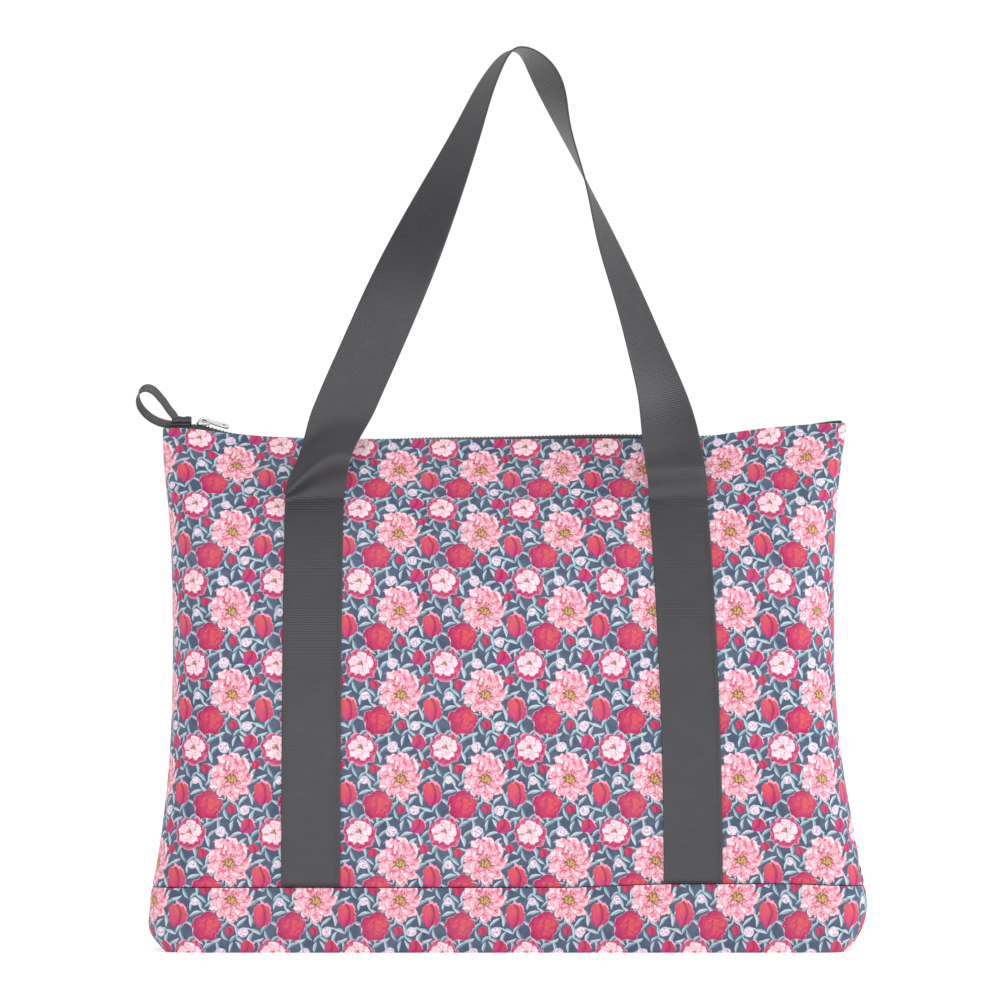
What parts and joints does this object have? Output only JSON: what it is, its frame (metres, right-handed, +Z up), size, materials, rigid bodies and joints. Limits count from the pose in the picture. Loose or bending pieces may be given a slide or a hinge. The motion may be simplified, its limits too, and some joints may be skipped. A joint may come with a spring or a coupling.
{
  "type": "foldable tote bag",
  "caption": "Soft zip-top tote bag with a boxed base, flat panels pinched in to the zip and two long webbing handles sewn down its faces.",
  "frame": {"origin": "centre of the base's underside, where the bag stands", "axes": "+X to the bag's right, away from the zip's pull loop; +Y to its back; +Z up towards the handles"},
  "size_m": [0.5122, 0.2546, 0.6324],
  "materials": {
    "printed_fabric": "matte, thin printed polyester",
    "webbing": "matte ribbed webbing",
    "binding": "matte tape",
    "loop_tape": "matte grosgrain tape",
    "zip_tape": "matte woven tape",
    "zip_teeth": "semi gloss",
    "zip_metal": "polished zinc alloy",
    "stitching": "matte thread"
  },
  "bodies": {
    "bag": {"back_panel": "printed_fabric", "back_strap_left": "webbing", "back_strap_right": "webbing", "back_top_facing": "binding", "base_panel": "printed_fabric", "base_seam_binding": "binding", "front_panel": "printed_fabric", "front_strap_left": "webbing", "front_strap_right": "webbing", "front_top_facing": "binding", "left_end_tab": "loop_tape", "left_seam_binding": "binding", "pull_loop_base": "loop_tape", "right_end_tab": "loop_tape", "right_seam_binding": "binding", "stow_pocket": "printed_fabric", "stow_pocket_binding": "binding", "zipper_bottom_stop": "zip_teeth", "zipper_tape_back": "zip_tape", "zipper_tape_front": "zip_tape", "zipper_teeth_back": "zip_teeth", "zipper_teeth_front": "zip_teeth", "zipper_top_stops": "zip_teeth"},
    "front_anchor": {"front_bar_tacks": "stitching"},
    "back_anchor": {"back_bar_tacks": "stitching"},
    "front_handle": {"front_handle": "webbing"},
    "back_handle": {"back_handle": "webbing"},
    "pull_loop": {"pull_loop": "loop_tape"},
    "slider": {"slider_body": "zip_metal"},
    "puller": {"slider_puller": "zip_metal"}
  },
  "joints": [
    {"name": "fold_flat", "type": "slide", "parent": "bag", "child": "front_anchor", "axis": [0, 1, 0], "range_m": [0, 0.0231], "deforming": ["front_panel", "back_panel", "base_panel", "stow_pocket", "front_top_facing", "back_top_facing", "left_seam_binding", "right_seam_binding", "base_seam_binding", "stow_pocket_binding", "zipper_tape_front", "zipper_tape_back", "front_strap_left", "front_strap_right", "back_strap_left", "back_strap_right"]},
    {"name": "fold_flat_back", "type": "slide", "parent": "bag", "child": "back_anchor", "axis": [0, -1, 0], "range_m": [0, 0.0231]},
    {"name": "front_handle_swing", "type": "hinge", "parent": "front_anchor", "child": "front_handle", "pos_m": [0, -0.0358, 0.316], "axis": [1, 0, 0], "range_deg": [0, 158]},
    {"name": "back_handle_swing", "type": "hinge", "parent": "back_anchor", "child": "back_handle", "pos_m": [0, 0.0358, 0.316], "axis": [1, 0, 0], "range_deg": [0, 158]},
    {"name": "zip_slide", "type": "slide", "parent": "bag", "child": "slider", "axis": [1, 0, 0], "range_m": [0, 0.425], "deforming": ["zipper_teeth_front", "zipper_teeth_back"]},
    {"name": "puller_flip", "type": "hinge", "parent": "slider", "child": "puller", "pos_m": [-0.2135, 0, 0.3695], "axis": [0, -1, 0], "range_deg": [0, 120]},
    {"name": "pull_loop_swing", "type": "hinge", "parent": "bag", "child": "pull_loop", "pos_m": [-0.2356, 0, 0.3721], "axis": [0, 1, 0], "range_deg": [-45, 95], "stiffness_Nm_per_rad": 0.003}
  ],
  "couplings": [
    {"joint": "fold_flat_back", "follows": "fold_flat", "ratio": 1}
  ]
}
